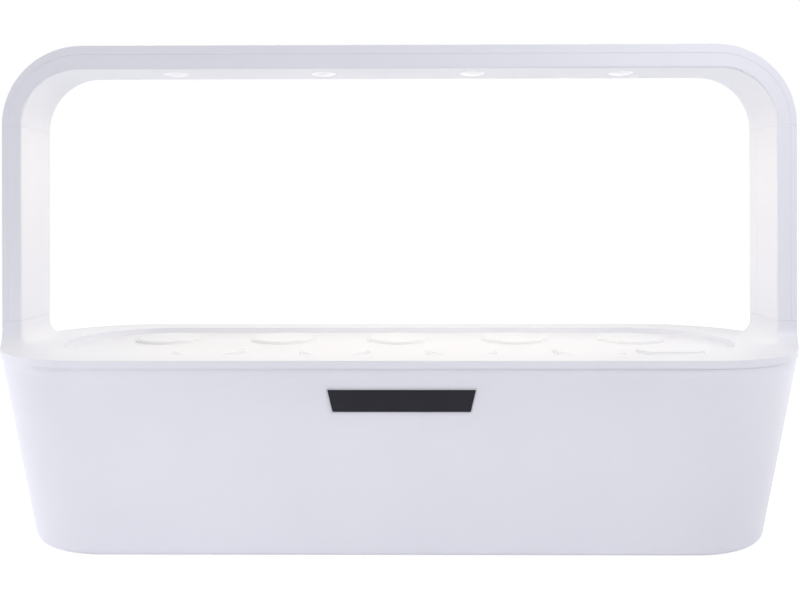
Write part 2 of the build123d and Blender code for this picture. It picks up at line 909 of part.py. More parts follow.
def make_light_board():
    """The board that carries the chips."""
    low = light_board_low()
    high = low + board_thickness
    half_length = light_board_length / 2
    half_depth = light_board_depth / 2
    board = block((-half_length, -half_depth, low), (half_length, half_depth, high))
    for x in lamp_screw_places():
        board -= rod(screw_hole_radius, low - overrun, high + overrun, x)
    return board


def make_heat_sink():
    """The aluminium bar with its fins, on the back of the board."""
    half = light_board_length / 2
    base = sink_top() - sink_base
    fin_top = sink_top() + sink_fin_height
    sink = block((-half, -sink_depth / 2, base), (half, sink_depth / 2, sink_top()))
    for k in (-2, -1, 1, 2):
        y = k * sink_fin_pitch
        sink += block((-half, y - sink_fin / 2, sink_top()), (half, y + sink_fin / 2, fin_top))
    for x in lamp_screw_places():
        sink -= rod(screw_hole_radius, base - overrun, sink_top() + overrun, x)
    return sink


def make_lamp_screws():
    """The screws that hold heat sink and board on the bosses."""
    length = sink_base + board_thickness + screw_bite
    return Compound([screw(x, 0, sink_top(), length) for x in lamp_screw_places()])


def make_lamp_lead():
    """The lead from the lamp's plug round the bend to the light board."""
    start = plug_shelf_level(joint_level)
    z = light_board_low() + board_thickness / 2
    reach = bend_radius - (bar_thickness + band_top) / 2
    lower = (contact_x, 0, start + web_thickness + lead_rise)
    upper = (bend_x + reach * lead_low_share, 0, z)
    points = [(contact_x, 0, start), lower, upper, (light_board_length / 2, 0, z)]
    return flat_lead(points, (0, 1, 0))


parts = {}
parts["basin"] = make_basin()
parts["basin_feet"] = make_pads()
parts["lid"] = make_lid()
parts["driver_cover"] = make_driver_cover()
parts["driver_board"] = make_driver_board()
parts["driver_screws"] = make_driver_screws()
parts["power_inlet"] = make_inlet()
parts["timer_button"] = make_button()
parts["timer_switch"] = make_switch()
parts["lid_lead"] = make_lid_lead()
parts["foot_socket"] = socket(stub_top)
parts["float_guide"] = make_float_guide()
parts["water_float"] = make_float()
parts["fill_cap"] = make_fill_cap()

for number, (x, y) in enumerate(cup_places(), 1):
    parts[f"cup_{number}"] = make_cup(x, y)
    parts[f"growing_plug_{number}"] = make_plug(x, y)
    parts[f"cup_cover_{number}"] = make_cover(x, y)

shell = arm_shell()
parts["right_arm"] = make_right_arm()
parts["right_arm_back_cover"] = make_back_cover(shell)
parts["right_arm_strip"] = make_strip(shell)
parts["left_arm"] = mirror(make_arm(shell), Plane.YZ)
parts["left_arm_strip"] = mirror(make_strip(shell), Plane.YZ)
parts["arm_plug"] = plug(stub_top)
parts["arm_lead"] = make_arm_lead()
parts["arm_socket"] = socket(joint_level)

whole, hollow = lamp_shell()
parts["lamp_housing"] = make_lamp_housing(whole, hollow)
parts["lamp_cover"] = make_lamp_cover(whole)
parts["lamp_plug"] = plug(joint_level)
parts["lamp_lead"] = make_lamp_lead()
parts["light_board"] = make_light_board()
parts["light_chips"] = make_chips()
parts["heat_sink"] = make_heat_sink()
parts["lamp_screws"] = make_lamp_screws()
parts["light_lenses"] = Compound([make_lens(x) for x in light_places()])

os.makedirs("parts", exist_ok=True)
for name, solid in parts.items():
    export_step(solid, f"parts/{name}.step")
    print(name, round(solid.volume), [round(v, 2) for v in solid.bounding_box().size])
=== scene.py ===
"""Looks of an indoor herb planter: its finishes, its small parts and the studio around it.

Sizes are metres. +X runs along the planter, +Y to its back, +Z up.
"""
import logging
import math
from abc import ABC, abstractmethod
from collections.abc import Callable, Iterable
from dataclasses import dataclass
from enum import Enum
from typing import Any

import bmesh
import bpy
from mathutils import Matrix, Vector


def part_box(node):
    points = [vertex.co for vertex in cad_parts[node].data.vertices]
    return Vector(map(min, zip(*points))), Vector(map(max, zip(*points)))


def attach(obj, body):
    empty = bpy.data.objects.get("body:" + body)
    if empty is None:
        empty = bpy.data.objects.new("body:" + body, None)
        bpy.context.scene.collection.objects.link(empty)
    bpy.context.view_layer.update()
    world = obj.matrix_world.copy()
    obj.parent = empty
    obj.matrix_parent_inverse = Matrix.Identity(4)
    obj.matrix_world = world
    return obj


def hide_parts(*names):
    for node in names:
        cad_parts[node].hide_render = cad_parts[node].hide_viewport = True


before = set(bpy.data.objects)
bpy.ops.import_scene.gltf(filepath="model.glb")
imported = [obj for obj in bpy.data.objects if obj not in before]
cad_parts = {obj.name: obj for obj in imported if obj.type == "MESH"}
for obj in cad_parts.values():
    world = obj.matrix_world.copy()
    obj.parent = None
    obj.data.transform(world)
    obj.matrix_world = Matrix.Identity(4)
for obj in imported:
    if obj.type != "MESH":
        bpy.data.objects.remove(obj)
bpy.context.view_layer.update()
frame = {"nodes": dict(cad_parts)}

log = logging.getLogger("planter")

Colour = tuple[float, float, float, float]
Triple = tuple[float, float, float]
Pair = tuple[float, float]

MM = 0.001
# Corners nearer to each other than this are one corner.
WELD_GAP = 0.001 * MM
# A face looks along an axis where that part of its normal is above this.
FACING = 0.5
# Noises lie round this level.
NOISE_LEVEL = 0.5
# Tint of the sky and of the soft boxes.
DAYLIGHT = (0.96, 0.965, 1.0)


def rgb(red: float, green: float, blue: float) -> Colour:
    """Return an opaque colour from three linear shares."""
    return (red, green, blue, 1.0)


def grey(level: float) -> Colour:
    """Return an opaque grey."""
    return rgb(level, level, level)


class Pick(Enum):
    """What a selection in edit mode is made of."""

    FACES = "FACE"
    EDGES = "EDGE"


class Head(Enum):
    """Which way a screw's head looks, as the sign of its height."""

    UP = 1
    DOWN = -1


class Socket:
    """One output of a shader node, with the arithmetic that the finishes use."""

    def __init__(self, graph: "Graph", socket: bpy.types.NodeSocket) -> None:
        """Wrap a socket.

        Args:
            graph: The graph that the socket's node is in.
            socket: The output socket.
        """
        self.graph = graph
        self.socket = socket

    def __add__(self, other: "Socket | float") -> "Socket":
        """Return the sum."""
        return self.graph.maths("ADD", self, other)

    __radd__ = __add__

    def __sub__(self, other: "Socket | float") -> "Socket":
        """Return the difference."""
        return self.graph.maths("SUBTRACT", self, other)

    def __rsub__(self, other: float) -> "Socket":
        """Return the difference."""
        return self.graph.maths("SUBTRACT", other, self)

    def __mul__(self, other: "Socket | float") -> "Socket":
        """Return the product."""
        return self.graph.maths("MULTIPLY", self, other)

    __rmul__ = __mul__

    def __truediv__(self, other: "Socket | float") -> "Socket":
        """Return the quotient."""
        return self.graph.maths("DIVIDE", self, other)

    def __rtruediv__(self, other: float) -> "Socket":
        """Return the quotient."""
        return self.graph.maths("DIVIDE", other, self)

    def __lt__(self, other: "Socket | float") -> "Socket":
        """Return 1 where this value is below the other."""
        return self.graph.maths("LESS_THAN", self, other)

    def __gt__(self, other: "Socket | float") -> "Socket":
        """Return 1 where this value is above the other."""
        return self.graph.maths("GREATER_THAN", self, other)

    def __abs__(self) -> "Socket":
        """Return the value without its sign."""
        return self.graph.maths("ABSOLUTE", self)

    def fold(self, width: float) -> "Socket":
        """Return the value folded to and fro between 0 and a width."""
        return self.graph.maths("PINGPONG", self, width)

    def hypot(self, other: "Socket") -> "Socket":
        """Return how far from zero this coordinate and another one are together."""
        return self.graph.maths("SQRT", self * self + other * other)

    def smooth(self, low: float, high: float) -> "Socket":
        """Return a soft step of the value.

        Args:
            low: Value at which the step starts.
            high: Value at which it ends.

        Returns:
            A value from 0 to 1.
        """
        settings = {"interpolation_type": "SMOOTHSTEP"}
        inputs = {"Value": self, "From Min": low, "From Max": high}
        return self.graph.node("ShaderNodeMapRange", settings, inputs)


class Graph:
    """The shader nodes of one material or world."""

    def __init__(self, owner: bpy.types.Material | bpy.types.World) -> None:
        """Empty the owner's node tree.

        Args:
            owner: The material or world whose nodes are built.
        """
        owner.use_nodes = True
        self.tree = owner.node_tree
        self.tree.nodes.clear()

    def node(self, kind: str, settings: dict[str, Any], inputs: dict[str | int, Any],
             output: str | int = 0) -> Socket | None:
        """Add a node.

        Args:
            kind: The node's type.
            settings: Its properties, which are set first.
            inputs: Values or sockets for its inputs, by name or number.
            output: The output that is wanted.

        Returns:
            The wanted output, or None where the node has no outputs.
        """
        node = self.tree.nodes.new(kind)
        for key, value in settings.items():
            setattr(node, key, value)
        for key, value in inputs.items():
            if isinstance(value, Socket):
                self.tree.links.new(value.socket, node.inputs[key])
            else:
                node.inputs[key].default_value = value
        return Socket(self, node.outputs[output]) if node.outputs else None

    def maths(self, operation: str, *values: Socket | float) -> Socket:
        """Return the result of a Math node on one to three values."""
        return self.node("ShaderNodeMath", {"operation": operation}, dict(enumerate(values)))

    def blend(self, share: Socket | float, low: Socket | Colour, high: Socket | Colour) -> Socket:
        """Mix two colours.

        Args:
            share: How much of the second colour is laid over the first.
            low: The first colour.
            high: The second colour.

        Returns:
            The mixed colour.
        """
        return self.node("ShaderNodeMix", {"data_type": "RGBA"}, {0: share, 6: low, 7: high}, output=2)

    def position(self) -> Socket:
        """Return the place on the piece, in the planter's own frame."""
        return self.node("ShaderNodeTexCoord", {}, {}, output="Object")

    def axes(self) -> tuple[Socket, Socket, Socket]:
        """Return the three coordinates of the place on the piece."""
        place = self.position()
        return tuple(self.node("ShaderNodeSeparateXYZ", {}, {0: place}, output=name) for name in "XYZ")

    def stretched(self, scale: Triple) -> Socket:
        """Return the place with each axis scaled."""
        return self.node("ShaderNodeMapping", {}, {"Vector": self.position(), "Scale": scale})

    def noise(self, size: float, detail: float = 2.0, place: Socket | None = None) -> Socket:
        """Return a noise.

        Args:
            size: Size of its largest features, in metres.
            detail: How many finer layers it has.
            place: Where it is read, by default the place on the piece.

        Returns:
            A value from 0 to 1.
        """
        inputs = {"Vector": place or self.position(), "Scale": 1 / size, "Detail": detail}
        return self.node("ShaderNodeTexNoise", {}, inputs)

    def cells(self, size: float) -> Socket:
        """Return the distance from the middle of the nearest cell, for cells of a size in metres."""
        return self.node("ShaderNodeTexVoronoi", {}, {"Vector": self.position(), "Scale": 1 / size})

    def bump(self, height: Socket, depth: float, under: Socket | None = None) -> Socket:
        """Return a normal with a relief.

        Args:
            height: The relief, from 0 to 1.
            depth: How deep it is, in metres.
            under: A normal that it is laid over.

        Returns:
            The normal.
        """
        inputs: dict[str | int, Any] = {"Height": height, "Distance": depth}
        if under:
            inputs["Normal"] = under
        return self.node("ShaderNodeBump", {}, inputs)

    def seen(self) -> Socket:
        """Tell what the eye sees from what only lights.

        Returns:
            1 for rays from the camera and for reflected and refracted ones, and else 0.
        """
        names = ("Is Camera Ray", "Is Glossy Ray", "Is Transmission Ray")
        camera, glossy, through = (self.node("ShaderNodeLightPath", {}, {}, output=name) for name in names)
        return self.maths("MAXIMUM", camera, self.maths("MAXIMUM", glossy, through))

    def principled(self, **inputs: Any) -> Socket:
        """Return a Principled shader; an input's name has underscores for spaces."""
        named = {name.replace("_", " "): value for name, value in inputs.items()}
        return self.node("ShaderNodeBsdfPrincipled", {}, named)


@dataclass(frozen=True)
class Finish(ABC):
    """A finish that several pieces may share."""

    name: str

    @abstractmethod
    def surface(self, graph: Graph) -> Socket:
        """Build the finish's shader.

        Args:
            graph: The material's nodes.

        Returns:
            The shader.
        """

    def material(self) -> bpy.types.Material:
        """Find the material of the finish's name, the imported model's own ones included, or make it.

        Returns:
            The material.
        """
        found = bpy.data.materials.get(self.name)
        if found is None:
            found = bpy.data.materials.new(self.name)
            graph = Graph(found)
            graph.node("ShaderNodeOutputMaterial", {}, {"Surface": self.surface(graph)})
        return found


@dataclass(frozen=True)
class MouldedPlastic(Finish):
    """Injection-moulded plastic or rubber: an even tone, slow flow marks and the tool's grain."""

    colour: Colour
    shade: Colour
    roughness: float
    roughness_range: float = 0.06
    specular: float = 0.5
    grain_size: float = 0.5 * MM
    grain_depth: float = 0.004 * MM
    grain_share: float = 0.2
    speck_grains: float = 7.0
    speck_share: float = 0.6
    flow_size: float = 90 * MM
    flow_step: Pair = (0.3, 0.7)
    ripple_depth: float = 0.02 * MM

    def surface(self, graph: Graph) -> Socket:
        """Build the finish's shader.

        Args:
            graph: The material's nodes.

        Returns:
            The shader.
        """
        flow = graph.noise(self.flow_size, detail=3)
        grain = graph.noise(self.grain_size, detail=3)
        speck = graph.noise(self.grain_size * self.speck_grains)
        tone = flow.smooth(*self.flow_step) * (1 - self.grain_share) + grain * self.grain_share
        colour = graph.blend(tone, self.colour, self.shade)
        drift = flow - NOISE_LEVEL + (speck - NOISE_LEVEL) * self.speck_share
        roughness = drift * (2 * self.roughness_range) + self.roughness
        ripple = graph.bump(flow, self.ripple_depth)
        normal = graph.bump(grain, self.grain_depth, under=ripple)
        return graph.principled(Base_Color=colour, Roughness=roughness, Specular_IOR_Level=self.specular,
                                Normal=normal)


@dataclass(frozen=True)
class Peat(Finish):
    """Crumbly peat sponge with light fibres."""

    dark: Colour = rgb(0.030, 0.016, 0.009)
    light: Colour = rgb(0.115, 0.066, 0.036)
    fibre: Colour = rgb(0.26, 0.17, 0.09)
    roughness: float = 0.95
    crumb_size: float = 1.6 * MM
    crumb_step: Pair = (0.1, 0.7)
    crumb_share: float = 0.5
    crumb_depth: float = 0.5 * MM
    crumb_relief: float = 0.6
    fine_size: float = 0.8 * MM
    strand_size: float = 4.8 * MM
    strand_stretch: Triple = (1.0, 6.0, 1.0)
    strand_step: Pair = (0.64, 0.72)
    strand_share: float = 0.7

    def surface(self, graph: Graph) -> Socket:
        """Build the finish's shader.

        Args:
            graph: The material's nodes.

        Returns:
            The shader.
        """
        crumbs = graph.cells(self.crumb_size)
        fine = graph.noise(self.fine_size, detail=6)
        strands = graph.noise(self.strand_size, detail=4, place=graph.stretched(self.strand_stretch))
        tone = crumbs.smooth(*self.crumb_step) * self.crumb_share + fine * (1 - self.crumb_share)
        colour = graph.blend(tone, self.light, self.dark)
        colour = graph.blend(strands.smooth(*self.strand_step) * self.strand_share, colour, self.fibre)
        relief = (1 - crumbs) * self.crumb_relief + fine * (1 - self.crumb_relief)
        normal = graph.bump(relief, self.crumb_depth)
        return graph.principled(Base_Color=colour, Roughness=self.roughness, Normal=normal)


@dataclass(frozen=True)
class CircuitBoard(Finish):
    """A coated board with copper tracks under the coat and bare pads."""

    coat: Colour = rgb(0.70, 0.73, 0.69)
    track: Colour = rgb(0.58, 0.62, 0.55)
    pad: Colour = rgb(0.78, 0.72, 0.55)
    roughness: float = 0.42
    track_pitch: float = 3.2 * MM
    track_step: Pair = (0.45, 0.51)
    track_relief: float = 0.6
    bend_size: float = 14 * MM
    bend_reach: float = 6 * MM
    pad_step: Pair = (0.5 * MM, 0.6 * MM)
    pad_metal: float = 0.9
    pad_polish: float = 0.15
    relief_depth: float = 0.035 * MM

    def surface(self, graph: Graph) -> Socket:
        """Build the finish's shader.

        Args:
            graph: The material's nodes.

        Returns:
            The shader.
        """
        x, y, _ = graph.axes()
        bend = graph.noise(self.bend_size, detail=0) * self.bend_reach
        half = self.track_pitch / 2
        tracks = ((y + bend).fold(half) / half).smooth(*self.track_step)
        from_pad = x.fold(self.track_pitch).hypot(y.fold(self.track_pitch))
        pads = 1 - from_pad.smooth(*self.pad_step)
        colour = graph.blend(pads, graph.blend(tracks, self.coat, self.track), self.pad)
        normal = graph.bump(tracks * self.track_relief + pads, self.relief_depth)
        return graph.principled(Base_Color=colour, Roughness=self.roughness - pads * self.pad_polish,
                                Metallic=pads * self.pad_metal, Normal=normal)


@dataclass(frozen=True)
class PhosphorChip(Finish):
    """A light chip: small phosphor squares in a pale frame, lit."""

    phosphor: Colour = rgb(0.92, 0.75, 0.25)
    frame: Colour = rgb(0.85, 0.85, 0.82)
    roughness: float = 0.4
    square: float = 2.0 * MM
    square_step: Pair = (0.12, 0.2)
    glow: Colour = rgb(1.0, 0.97, 0.93)
    glow_strength: float = 1.5

    def surface(self, graph: Graph) -> Socket:
        """Build the finish's shader.

        Args:
            graph: The material's nodes.

        Returns:
            The shader.
        """
        x, y, _ = graph.axes()
        half = self.square / 2
        inside = (graph.maths("MINIMUM", x.fold(half), y.fold(half)) / half).smooth(*self.square_step)
        colour = graph.blend(inside, self.frame, self.phosphor)
        glow = graph.blend(inside, grey(0), self.glow)
        return graph.principled(Base_Color=colour, Roughness=self.roughness, Emission_Color=glow,
                                Emission_Strength=self.glow_strength)


@dataclass(frozen=True)
class FrostedLens(Finish):
    """A frosted clear lens with fine rings round its middle, lit from behind."""

    colour: Colour = rgb(0.93, 0.93, 0.95)
    roughness: float = 0.3
    haze_size: float = 1.2 * MM
    haze_range: float = 0.1
    clearness: float = 0.15
    refraction: float = 1.49
    pitch: float = 118 * MM
    ring_pitch: float = 0.9 * MM
    ring_depth: float = 0.02 * MM
    rim_glow: Colour = rgb(0.70, 0.68, 0.69)
    spot_glow: Colour = rgb(1.0, 0.99, 0.98)
    spot_step: Pair = (2.2 * MM, 8.8 * MM)
    glow_strength: float = 0.2

    def surface(self, graph: Graph) -> Socket:
        """Build the finish's shader.

        Args:
            graph: The material's nodes.

        Returns:
            The shader.
        """
        x, y, _ = graph.axes()
        half = self.pitch / 2
        reach = graph.maths("WRAP", x - half, half, -half).hypot(y)
        rings = reach.fold(self.ring_pitch / 2) / (self.ring_pitch / 2)
        glow = graph.blend(1 - reach.smooth(*self.spot_step), self.rim_glow, self.spot_glow)
        roughness = self.roughness + graph.noise(self.haze_size) * self.haze_range
        return graph.principled(Base_Color=self.colour, Roughness=roughness, IOR=self.refraction,
                                Transmission_Weight=self.clearness, Normal=graph.bump(rings, self.ring_depth),
                                Emission_Color=glow, Emission_Strength=self.glow_strength)


@dataclass(frozen=True)
class RibbonSheath(Finish):
    """A flat two-core lead with a groove between its cores."""

    colour: Colour = rgb(0.62, 0.62, 0.63)
    stripe: Colour = rgb(0.16, 0.16, 0.17)
    roughness: float = 0.55
    stripe_edges: Pair = (0.9 * MM, 1.25 * MM)
    groove_step: Pair = (0.1 * MM, 0.35 * MM)
    groove_depth: float = 0.15 * MM
    cloud_size: float = 6 * MM
    cloud_share: float = 0.12

    def surface(self, graph: Graph) -> Socket:
        """Build the finish's shader.

        Args:
            graph: The material's nodes.

        Returns:
            The shader.
        """
        _, y, _ = graph.axes()
        inner, outer = self.stripe_edges
        colour = graph.blend((y > inner) * (y < outer), self.colour, self.stripe)
        colour = graph.blend(graph.noise(self.cloud_size) * self.cloud_share, colour, self.stripe)
        normal = graph.bump(abs(y).smooth(*self.groove_step), self.groove_depth)
        return graph.principled(Base_Color=colour, Roughness=self.roughness, Normal=normal)


@dataclass(frozen=True)
class ExtrudedAluminium(Finish):
    """Extruded aluminium with die lines along the bar."""

    colour: Colour = rgb(0.72, 0.73, 0.75)
    shade: Colour = rgb(0.55, 0.56, 0.58)
    roughness: float = 0.3
    roughness_range: float = 0.15
    line_size: float = 0.5 * MM
    line_stretch: Triple = (0.01, 1.0, 1.0)
    line_share: float = 0.5
    line_depth: float = 0.02 * MM
    cloud_size: float = 30 * MM
    cloud_share: float = 0.2

    def surface(self, graph: Graph) -> Socket:
        """Build the finish's shader.

        Args:
            graph: The material's nodes.

        Returns:
            The shader.
        """
        lines = graph.noise(self.line_size, detail=3, place=graph.stretched(self.line_stretch))
        tone = lines * self.line_share + graph.noise(self.cloud_size) * self.cloud_share
        colour = graph.blend(tone, self.colour, self.shade)
        roughness = self.roughness + lines * self.roughness_range
        return graph.principled(Base_Color=colour, Metallic=1.0, Roughness=roughness,
                                Normal=graph.bump(lines, self.line_depth))


@dataclass(frozen=True)
class PlatedSteel(Finish):
    """Bright zinc plate with a slight cloud."""

    colour: Colour = rgb(0.62, 0.62, 0.64)
    tarnish: Colour = rgb(0.46, 0.44, 0.40)
    roughness: float = 0.24
    roughness_range: float = 0.2
    cloud_size: float = 1.5 * MM
    cloud_step: Pair = (0.45, 0.75)
    grain_size: float = 0.2 * MM
    grain_depth: float = 0.01 * MM

    def surface(self, graph: Graph) -> Socket:
        """Build the finish's shader.

        Args:
            graph: The material's nodes.

        Returns:
            The shader.
        """
        cloud = graph.noise(self.cloud_size, detail=4)
        colour = graph.blend(cloud.smooth(*self.cloud_step), self.colour, self.tarnish)
        normal = graph.bump(graph.noise(self.grain_size), self.grain_depth)
        roughness = self.roughness + cloud * self.roughness_range
        return graph.principled(Base_Color=colour, Metallic=1.0, Roughness=roughness, Normal=normal)


@dataclass(frozen=True)
class InletPlastic(Finish):
    """Black plastic round a bright pin on one axis along Y."""

    pin_x: float
    pin_z: float
    pin_radius: float = 1.3 * MM
    pin: Colour = rgb(0.68, 0.66, 0.60)
    pin_polish: float = 0.25
    colour: Colour = rgb(0.018, 0.018, 0.020)
    shade: Colour = rgb(0.03, 0.03, 0.032)
    roughness: float = 0.5
    grain_size: float = 0.4 * MM
    grain_share: float = 0.5
    grain_depth: float = 0.02 * MM

    def surface(self, graph: Graph) -> Socket:
        """Build the finish's shader.

        Args:
            graph: The material's nodes.

        Returns:
            The shader.
        """
        x, _, z = graph.axes()
        metal = (x - self.pin_x).hypot(z - self.pin_z) < self.pin_radius
        grain = graph.noise(self.grain_size, detail=3)
        black = graph.blend(grain * self.grain_share, self.colour, self.shade)
        colour = graph.blend(metal, black, self.pin)
        return graph.principled(Base_Color=colour, Metallic=metal,
                                Roughness=self.roughness - metal * self.pin_polish,
                                Normal=graph.bump(grain, self.grain_depth))


WHITE = MouldedPlastic("satin_white_plastic", rgb(0.842, 0.845, 0.898), rgb(0.824, 0.828, 0.882),
                       roughness=0.34)
COVER = MouldedPlastic("cover_plastic", rgb(0.842, 0.845, 0.893), rgb(0.828, 0.831, 0.880), roughness=0.4)
CUP = MouldedPlastic("matt_cup_plastic", rgb(0.86, 0.86, 0.865), rgb(0.83, 0.83, 0.84), roughness=0.52,
                     grain_size=0.7 * MM, grain_depth=0.02 * MM)
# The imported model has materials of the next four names, so its plain ones are found and these are never made.
INNER = MouldedPlastic("inner_plastic", rgb(0.76, 0.76, 0.78), rgb(0.72, 0.72, 0.745), roughness=0.45,
                       grain_depth=0.01 * MM)
FLOAT = MouldedPlastic("float_plastic", rgb(0.74, 0.77, 0.80), rgb(0.68, 0.71, 0.75), roughness=0.48,
                       grain_size=1.4 * MM, grain_depth=0.05 * MM)
RUBBER = MouldedPlastic("pad_rubber", rgb(0.46, 0.46, 0.47), rgb(0.40, 0.40, 0.41), roughness=0.78,
                        grain_size=0.9 * MM, grain_depth=0.05 * MM)
BLACK = MouldedPlastic("black_plastic", rgb(0.022, 0.022, 0.025), rgb(0.034, 0.034, 0.037), roughness=0.5,
                       grain_size=0.6 * MM, grain_depth=0.02 * MM)
PLATE = MouldedPlastic("plate_lacquer", rgb(0.011, 0.010, 0.017), rgb(0.009, 0.008, 0.014), roughness=0.42,
                       grain_size=1.5 * MM, flow_size=30 * MM, specular=0.2)
PLATE_EDGE = MouldedPlastic("plate_edge", rgb(0.62, 0.62, 0.66), rgb(0.57, 0.57, 0.61), roughness=0.3)
PEAT = Peat("peat_sponge")
BOARD = CircuitBoard("board_coat")
CHIPS = PhosphorChip("phosphor_chip")
LENS = FrostedLens("frosted_lens")
SHEATH = RibbonSheath("ribbon_sheath")
ALUMINIUM = ExtrudedAluminium("die_lined_aluminium")
ZINC = PlatedSteel("zinc_plate")


def dress(finish: Finish, *names: str) -> None:
    """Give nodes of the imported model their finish.

    Args:
        finish: The finish.
        names: The nodes' names.
    """
    for name in names:
        piece = frame["nodes"][name]
        if not piece.material_slots:
            piece.data.materials.append(None)
        for place in piece.material_slots:
            place.material = finish.material()
        log.info("dressed %s in %s", name, finish.name)


def begin(name: str, add: Callable[..., Any], **sizes: Any) -> bpy.types.Object:
    """Start a piece from one of Blender's primitives.

    Args:
        name: The piece's name.
        add: The operator that adds the primitive.
        sizes: What the operator takes.

    Returns:
        The new object, alone selected, in object mode.
    """
    bpy.ops.object.select_all(action="DESELECT")
    add(**sizes)
    piece = bpy.context.active_object
    piece.name = name
    piece.data.name = name
    return piece


def select_alone(piece: bpy.types.Object) -> None:
    """Select one piece as the active one and deselect the rest.

    Args:
        piece: The piece.
    """
    bpy.ops.object.select_all(action="DESELECT")
    piece.select_set(True)
    bpy.context.view_layer.objects.active = piece


def pick(piece: bpy.types.Object, kind: Pick, test: Callable[[Any], bool]) -> None:
    """Select the faces or edges of the piece that pass a test.

    Args:
        piece: The object in edit mode.
        kind: Faces or edges.
        test: Takes a face or an edge.
    """
    bpy.ops.mesh.select_mode(type=kind.value)
    bpy.ops.mesh.select_all(action="DESELECT")
    mesh = bmesh.from_edit_mesh(piece.data)
    elements = mesh.faces if kind is Pick.FACES else mesh.edges
    for element in [element for element in elements if test(element)]:
        element.select_set(True)
    bmesh.update_edit_mesh(piece.data)


def settle(piece: bpy.types.Object) -> None:
    """Leave edit mode and put the piece's place into its mesh.

    Args:
        piece: The piece, in edit or object mode.
    """
    if piece.mode == "EDIT":
        bpy.ops.object.mode_set(mode="OBJECT")
    select_alone(piece)
    bpy.ops.object.transform_apply(location=True, rotation=True, scale=True)


def hand_over(piece: bpy.types.Object, body: str, finish: Finish,
              stands_for: Iterable[str] = (), smooth_angle: float = 35.0) -> None:
    """Finish a new piece and attach it to its body.

    Args:
        piece: The piece, with its place in its mesh.
        body: The body that it rides on.
        finish: Its finish.
        stands_for: The nodes that it replaces.
        smooth_angle: Edges sharper than this many degrees stay sharp.
    """
    select_alone(piece)
    bpy.ops.object.shade_smooth_by_angle(angle=math.radians(smooth_angle))
    piece.data.materials.clear()
    piece.data.materials.append(finish.material())
    nodes = tuple(stands_for)
    if nodes:
        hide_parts(*nodes)
    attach(piece, body)
    log.info("made %s on %s, %d faces", piece.name, body, len(piece.data.polygons))


def lathe(name: str, sides: int, rings: list[Pair]) -> bpy.types.Object:
    """Make a turned shape from rings, each pulled out of the one before.

    Args:
        name: The piece's name.
        sides: How many sides a ring has.
        rings: Radius and height of each ring.

    Returns:
        The shape round the Z axis, in object mode.
    """
    radius, level = rings[0]
    shape = begin(name, bpy.ops.mesh.primitive_circle_add, vertices=sides, radius=radius, fill_type="NGON",
                  location=(0, 0, level))
    settle(shape)
    bpy.ops.object.mode_set(mode="EDIT")
    bpy.ops.mesh.select_all(action="SELECT")
    for wanted, height in rings[1:]:
        bpy.ops.mesh.extrude_region_move(TRANSFORM_OT_translate={"value": (0, 0, height - level)})
        share = wanted / radius
        bpy.ops.transform.resize(value=(share, share, 1), center_override=(0, 0, height))
        radius, level = wanted, height
    bpy.ops.mesh.select_all(action="SELECT")
    bpy.ops.mesh.normals_make_consistent(inside=False)
    bpy.ops.object.mode_set(mode="OBJECT")
    return shape


def cut(piece: bpy.types.Object, tool: bpy.types.Object) -> None:
    """Cut one piece with another.

    Args:
        piece: The piece that is cut.
        tool: What is taken away from it; it is used up.
    """
    select_alone(piece)
    boolean = piece.modifiers.new("cut", "BOOLEAN")
    boolean.operation = "DIFFERENCE"
    boolean.object = tool
    bpy.ops.object.modifier_apply(modifier=boolean.name)
    bpy.data.objects.remove(tool)


def join(pieces: list[bpy.types.Object], name: str) -> bpy.types.Object:
    """Join pieces into one object.

    Args:
        pieces: The pieces, with their places in their meshes.
        name: The joined object's name.

    Returns:
        The joined object.
    """
    select_alone(pieces[0])
    for piece in pieces[1:]:
        piece.select_set(True)
    bpy.ops.object.join()
    pieces[0].name = name
    pieces[0].data.name = name
    return pieces[0]


def corners(points: Iterable[Vector]) -> tuple[Vector, Vector]:
    """Return the lowest and the highest corner of the box round some points."""
    along = list(zip(*points))
    return Vector([min(values) for values in along]), Vector([max(values) for values in along])


def middle(box: tuple[Vector, Vector]) -> Vector:
    """Return the middle of a box, which is its lowest and its highest corner."""
    low, high = box
    return (low + high) / 2


def separate_shapes(node: str) -> list[list[Vector]]:
    """Take a node apart into its separate solids.

    Args:
        node: The node's name.

    Returns:
        The corners of each solid, the solids from left to right and then from front to back.
    """
    copy = bmesh.new()
    copy.from_mesh(frame["nodes"][node].data)
    bmesh.ops.remove_doubles(copy, verts=copy.verts, dist=WELD_GAP)
    left = set(copy.verts)
    shapes = []
    while left:
        found = set()
        front = [left.pop()]
        while front:
            vertex = front.pop()
            found.add(vertex)
            near = {edge.other_vert(vertex) for edge in vertex.link_edges} & left
            left -= near
            front.extend(near)
        shapes.append([vertex.co.copy() for vertex in found])
    copy.free()
    return sorted(shapes, key=lambda points: tuple(corners(points)[0]))


def measure(points: Iterable[Vector], centre: Vector, top: float) -> list[Pair]:
    """Measure points round an upright axis.

    Args:
        points: The points.
        centre: A point on the axis.
        top: The level that the depths start from.

    Returns:
        Depth and radius of each point.
    """
    return [(abs(p.z - top), math.hypot(p.x - centre.x, p.y - centre.y)) for p in points]


